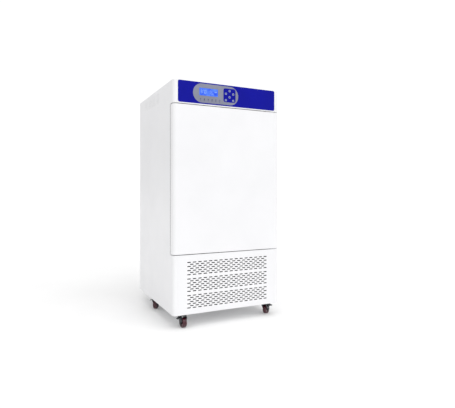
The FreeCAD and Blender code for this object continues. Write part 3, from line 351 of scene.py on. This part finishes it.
def add_key_symbols():
    """Each key's mark moves with its key."""
    for name in ("up_key", "left_key", "right_key", "down_key", "set_key", "light_key"):
        low, high = node_box(name)
        centre = (low + high) / 2
        y_front = low.y - PRINT_DEPTH / 2

        def build(bm, name=name, centre=centre, y_front=y_front):
            for outline in key_symbol(name):
                moved = [(centre.x + x, centre.z + z) for x, z in outline]
                add_print(bm, moved, y_front)

        new_piece(name + "_mark", mesh_from(build), "ink_blue", name)


# The ends of each segment, in halves of a digit's height.
SEGMENTS = {"a": ((0, 2), (1, 2)), "b": ((1, 2), (1, 1)), "c": ((1, 1), (1, 0)),
            "d": ((0, 0), (1, 0)), "e": ((0, 1), (0, 0)), "f": ((0, 2), (0, 1)),
            "g": ((0, 1), (1, 1))}
DIGITS = {"0": "abcdef", "1": "bc", "2": "abged", "3": "abgcd", "4": "fgbc", "5": "afgcd",
          "6": "afgedc", "7": "abc", "8": "abcdefg", "9": "abcdfg"}


def add_digit(bm, digit, x, z, height, y_front):
    """One seven-segment digit with its lower left corner at x, z."""
    unit = height / 2
    width = 0.95 * unit
    half = 0.13 * unit
    end_gap = 1.5 * half
    for name in DIGITS[digit]:
        (u0, v0), (u1, v1) = SEGMENTS[name]
        xa, xb = sorted((x + u0 * width, x + u1 * width))
        za, zb = sorted((z + v0 * unit, z + v1 * unit))
        if za == zb:
            outline = bar(xa + end_gap, xb - end_gap, za - half, za + half)
        else:
            outline = bar(xa - half, xa + half, za + end_gap, zb - end_gap)
        add_print(bm, outline, y_front)


def add_number(bm, text, x, z, height, y_front):
    """A row of digits, points and colons with its lower left corner at x, z."""
    digit_step, colon_step = 0.72 * height, 0.3 * height
    point_half, point_back = 0.09 * height, 0.108 * height
    colon_half = 0.08 * height
    for letter in text:
        if letter == ".":
            middle = x - point_back
            add_print(bm, bar(middle - point_half, middle + point_half,
                              z - point_half, z + point_half), y_front)
        elif letter == ":":
            for level in (0.3, 0.7):
                middle = z + level * height
                add_print(bm, bar(x - colon_half, x + colon_half,
                                  middle - colon_half, middle + colon_half), y_front)
            x += colon_step
        else:
            add_digit(bm, letter, x, z, height, y_front)
            x += digit_step


def add_display_digits():
    """A large reading, a smaller one over a time, and four rising bars."""
    low, _ = node_box("lcd_display")
    y_front = low.y - PRINT_DEPTH / 2
    margin = 0.012
    left, bottom = low.x + margin, low.z + margin
    large, small = 0.016, 0.0075
    large_x, large_z = left + 0.002, bottom + 0.006
    small_x, upper_z, lower_z = left + 0.052, bottom + 0.014, bottom + 0.002
    bars_x, bar_count, bar_pitch, bar_width = left + 0.080, 4, 0.0032, 0.0022
    bar_height, bar_rise = 0.0025, 0.0014

    def build(bm):
        add_number(bm, "37.0", large_x, large_z, large, y_front)
        add_number(bm, "37.0", small_x, upper_z, small, y_front)
        add_number(bm, "24:00", small_x, lower_z, small, y_front)
        for step in range(bar_count):
            x = bars_x + step * bar_pitch
            top = upper_z + bar_height + step * bar_rise
            add_print(bm, bar(x, x + bar_width, upper_z, top), y_front)

    new_piece("display_digits", mesh_from(build), "segment_light", "cabinet")


def icon_outlines(kind, x, z):
    """The outlines of one generic status mark about x, z."""
    r = MARK_REACH
    if kind == "power":
        dot_drop, dot_radius = 0.0006, 0.0022
        return [bar(x - STROKE_HALF, x + STROKE_HALF, z, z + r),
                disc(x, z - dot_drop, dot_radius, 16)]
    if kind == "flame":
        return [[(x - 0.6 * r, z - 0.8 * r), (x + 0.6 * r, z - 0.8 * r), (x + 0.75 * r, z - 0.1 * r),
                 (x + 0.1 * r, z + r), (x - 0.75 * r, z - 0.1 * r)]]
    if kind == "cold":
        return [[(x + math.cos(a) * s * r - math.sin(a) * t, z + math.sin(a) * s * r + math.cos(a) * t)
                 for s, t in ((-1, -STROKE_HALF), (1, -STROKE_HALF), (1, STROKE_HALF), (-1, STROKE_HALF))]
                for a in (math.pi / 2, math.pi / 6, 5 * math.pi / 6)]
    if kind == "fan":
        blade_reach, blade_radius = 0.55 * r, 0.42 * r
        return [disc(x + blade_reach * math.cos(a), z + blade_reach * math.sin(a), blade_radius, 14)
                for a in (math.pi / 2, math.pi * 7 / 6, math.pi * 11 / 6)]
    if kind == "lamp":
        return [disc(x, z + 0.25 * r, 0.62 * r, 18), bar(x - 0.3 * r, x + 0.3 * r, z - r, z - 0.5 * r)]
    dial_radius, dot_radius, dots = 0.85 * r, 0.16 * r, 12
    dial = []
    for step in range(dots):
        a = 2 * math.pi * step / dots
        dial.append(disc(x + dial_radius * math.cos(a), z + dial_radius * math.sin(a), dot_radius, 8))
    return dial + [bar(x - LINE_HALF, x + LINE_HALF, z, z + 0.6 * r),
                   bar(x, x + 0.5 * r, z - LINE_HALF, z + LINE_HALF)]


def add_status_icons():
    """A row of six small printed marks under the display, each above two short lines."""
    low, _ = node_box("display_bezel")
    lcd_low, _ = node_box("lcd_display")
    first_inset, pitch, rise = 0.0118, 0.0217, 0.0195
    lines = ((0.0068, 0.0034), (0.0090, 0.0022))     # each line's drop, and half its length
    z = low.z + rise
    y_front = low.y - PRINT_DEPTH / 2

    def build(bm):
        for index, kind in enumerate(("power", "flame", "cold", "fan", "lamp", "clock")):
            x = lcd_low.x + first_inset + index * pitch
            for outline in icon_outlines(kind, x, z):
                add_print(bm, outline, y_front)
            for drop, half in lines:
                add_print(bm, bar(x - half, x + half, z - drop - STROKE_HALF, z - drop + STROKE_HALF),
                          y_front)

    new_piece("status_icons", mesh_from(build), "ink_blue", "cabinet")


# ---------------------------------------------------------------- dark mats behind openings (painted shade)
def pleated_sheet(bm, along, across, corner, folds, depth, thickness):
    """A zigzag sheet: each fold runs across, and the folds follow one another along."""
    rows = []
    normal = along.cross(across).normalized()
    for step in range(2 * folds + 1):
        base = corner + along * (step / (2 * folds)) + normal * (depth if step % 2 else 0)
        rows.append([bm.verts.new(base + offset) for offset in
                     (Vector(), across, across + normal * thickness, normal * thickness)])
    for first, second in zip(rows, rows[1:]):
        for index in range(4):
            after = (index + 1) % 4
            bm.faces.new((first[index], first[after], second[after], second[index]))
    bm.faces.new(rows[0])
    bm.faces.new(rows[-1])


def add_grille_shade_mat():
    """Dark pleated mat behind the slots of the front grille: painted shade, which makes the slots read dark."""
    low, high = node_box("front_grille")
    side_margin, bottom_margin, top_margin, gap = 0.05, 0.004, 0.010, 0.006
    folds, depth, thickness = 42, 0.006, 0.0015
    width = high.x - low.x - 2 * side_margin
    height = high.z - low.z - bottom_margin - top_margin
    corner = Vector((low.x + side_margin, low.y + gap + depth + thickness, low.z + bottom_margin))

    def build(bm):
        pleated_sheet(bm, Vector((width, 0, 0)), Vector((0, 0, height)), corner,
                      folds, depth, thickness)

    # the mat's dark colour paints the shade inside the grille's slots
    new_piece("grille_shade_mat", mesh_from(build), "slot_shade_mat", "cabinet")


def add_vent_hole_shades():
    """Dark pleated mats behind the vent holes high in each side of the cabinet: painted shade, which makes the
    holes read dark.
    """
    length, height = 0.36, 0.072
    front_inset, top_inset, gap = 0.20, 0.096, 0.0021
    folds, depth, thickness = 60, 0.002, 0.001
    for name, side in (("left_side_panel", 1), ("right_side_panel", -1)):
        low, high = node_box(name)
        outer = low.x if side > 0 else high.x
        corner = Vector((outer + side * gap, low.y + front_inset, high.z - top_inset))

        def build(bm, corner=corner, side=side):
            pleated_sheet(bm, Vector((0, length, 0)), Vector((0, 0, height)), corner,
                          folds, side * depth, side * thickness)

        # the mats' dark colour paints the shade inside the vent holes
        new_piece(name + "_hole_shade", mesh_from(build), "slot_shade_mat", "cabinet")


# ---------------------------------------------------------------- painted shade lip at the door gap, and fasteners
def frame_ring(bm, outer, inner, y0, y1):
    """A flat ring between two rectangles, each (x0, x1, z0, z1), from y0 to y1."""
    loops = []
    for x0, x1, z0, z1 in (outer, inner):
        for y in (y0, y1):
            loops.append([bm.verts.new((x, y, z)) for x, z in bar(x0, x1, z0, z1)])
    outer_front, outer_rear, inner_front, inner_rear = loops
    for first, second in ((outer_front, inner_front), (outer_rear, inner_rear),
                          (outer_front, outer_rear), (inner_front, inner_rear)):
        for index in range(4):
            after = (index + 1) % 4
            bm.faces.new((first[index], first[after], second[after], second[index]))


def add_gap_shade_lip():
    """A thin ring of dark seal rubber set almost at the door's edge: painted shade, which darkens the line of the
    gap beside the door.
    """
    low, high = node_box("door_gasket")
    door_low, door_high = node_box("door_skin")
    # the ring sits 0.8 mm in from the door's edge, where its dark colour paints the gap's shade
    edge, hinge_edge, overlap, thickness = 0.0008, 0.010, 0.001, 0.0012
    outer = (door_low.x + edge, door_high.x - hinge_edge, door_low.z + edge, door_high.z - edge)
    inner = (low.x + overlap, high.x - overlap, low.z + overlap, high.z - overlap)

    def build(bm):
        frame_ring(bm, outer, inner, high.y - thickness, high.y)

    new_piece("gap_shade_lip", mesh_from(build), "seal_rubber", "door")


def add_hexagon(bm, x, y, z0, z1, radius):
    """A six-sided bolt head that stands between z0 and z1, chamfered at z0."""
    chamfer, tip_radius = 0.0006, 0.86 * radius
    ends = []
    for z, size in ((z1, radius), (z0 + chamfer, radius), (z0, tip_radius)):
        ends.append([bm.verts.new((x + size * math.cos(step * math.pi / 3),
                                   y + size * math.sin(step * math.pi / 3), z)) for step in range(6)])
    bm.faces.new(ends[0])
    bm.faces.new(ends[-1])
    for first, second in zip(ends, ends[1:]):
        for index in range(6):
            after = (index + 1) % 6
            bm.faces.new((first[index], first[after], second[after], second[index]))


def add_caster_bolts():
    """Four bolts through each caster's top plate into the base tray."""
    low, high = node_box("caster_plates")
    centres = [Vector(joint["pos_m"]) for joint in frame["joints"]
               if joint["name"].startswith("swivel_")]
    inset, radius, height, plate_thickness = 0.008, 0.0048, 0.003, 0.0025
    reach_x = high.x - max(centre.x for centre in centres) - inset
    reach_y = min(centre.y for centre in centres) - low.y - inset
    z1 = high.z - plate_thickness

    def build(bm):
        for centre in centres:
            for side_x in (-1, 1):
                for side_y in (-1, 1):
                    add_hexagon(bm, centre.x + side_x * reach_x, centre.y + side_y * reach_y,
                                z1 - height, z1, radius)

    new_piece("caster_bolts", mesh_from(build), "zinc", "cabinet")


def cluster_centres(name, reach):
    """Centres, as (x, z), of the separate small solids that one node holds."""
    groups = []
    for vertex in NODES[name].data.vertices:
        x, z = vertex.co.x, vertex.co.z
        for group in groups:
            if abs(group[0][0] - x) < reach and abs(group[0][1] - z) < reach:
                group.append((x, z))
                break
        else:
            groups.append([(x, z)])
    centres = []
    for group in groups:
        xs, zs = zip(*group)
        centres.append(((min(xs) + max(xs)) / 2, (min(zs) + max(zs)) / 2))
    return centres


def add_screw_recess_shade():
    """Dark crosses standing slightly proud on the heads of the rear covers' screws: painted shade for their cross
    recesses, which are not cut.
    """
    _, high = node_box("cover_screws")
    head_reach, half_length, half_width, depth, proud = 0.012, 0.0022, 0.00045, 0.0006, 0.0001
    y_front = high.y - depth + proud

    def build(bm):
        for x, z in cluster_centres("cover_screws", head_reach):
            for dx, dz in ((half_length, half_width), (half_width, half_length)):
                add_plaque(bm, bar(x - dx, x + dx, z - dz, z + dz), y_front, depth)

    # the dark plastic colour paints the shade inside each cross recess
    new_piece("screw_recess_painted_shade", mesh_from(build), "fan_plastic", "cabinet")


# ---------------------------------------------------------------- studio
def add_floor():
    """A wide near-white floor a hair below the wheels."""
    size, drop = 40.0, 0.0005
    mesh = mesh_from(lambda bm: bmesh.ops.create_grid(bm, x_segments=1, y_segments=1, size=size))
    floor = bpy.data.objects.new("floor", mesh)
    bpy.context.scene.collection.objects.link(floor)
    shader = Shader("floor")
    shader.colour((0.88, 0.88, 0.88), 0.01, 2.0)
    shader.set(Roughness=0.9, Specular_IOR_Level=0.1,
               Emission_Color=(1, 1, 1, 1), Emission_Strength=0.1)
    mesh.materials.append(shader.material)
    floor.location.z = -drop


def add_world():
    """White behind the object, and a softer white as its light."""
    world = bpy.data.worlds.new("studio")
    bpy.context.scene.world = world
    world.use_nodes = True
    tree = world.node_tree
    tree.nodes.clear()
    backgrounds = []
    for strength in (0.69, 1.05):       # as light, and as the camera sees it
        background = tree.nodes.new("ShaderNodeBackground")
        background.inputs["Color"].default_value = (1, 1, 1, 1)
        background.inputs["Strength"].default_value = strength
        backgrounds.append(background)
    path = tree.nodes.new("ShaderNodeLightPath")
    mix = tree.nodes.new("ShaderNodeMixShader")
    output = tree.nodes.new("ShaderNodeOutputWorld")
    tree.links.new(path.outputs["Is Camera Ray"], mix.inputs["Fac"])
    for socket, background in enumerate(backgrounds, start=1):
        tree.links.new(background.outputs["Background"], mix.inputs[socket])
    tree.links.new(mix.outputs["Shader"], output.inputs["Surface"])


def add_sun():
    """One large soft lamp from above the front."""
    data = bpy.data.lights.new("sun", "SUN")
    data.energy = 1.45
    data.angle = math.radians(70)
    sun = bpy.data.objects.new("sun", data)
    bpy.context.scene.collection.objects.link(sun)
    towards = Vector((0.05, -0.56, 0.83))
    sun.rotation_euler = towards.to_track_quat("Z", "Y").to_euler()


def add_camera():
    """Level camera 2 m before the door and 1 m to its left, a little above the cabinet's middle."""
    left, distance, height, turn = 0.979, 1.998, 0.698, 25.93
    data = bpy.data.cameras.new("camera")
    data.sensor_width = 36.0
    data.lens = 33.04
    data.shift_y = -0.0282
    camera = bpy.data.objects.new("camera", data)
    bpy.context.scene.collection.objects.link(camera)
    front_y = node_box("door_skin")[0].y
    camera.location = (-left, front_y - distance, height)
    camera.rotation_euler = (math.radians(90), 0, math.radians(-turn))
    bpy.context.scene.camera = camera


dress_nodes()
add_key_symbols()
add_display_digits()
add_status_icons()
add_grille_shade_mat()
add_gap_shade_lip()
add_caster_bolts()
add_screw_recess_shade()
add_vent_hole_shades()
add_floor()
add_world()
add_sun()
add_camera()
bpy.context.scene.view_settings.view_transform = "Standard"
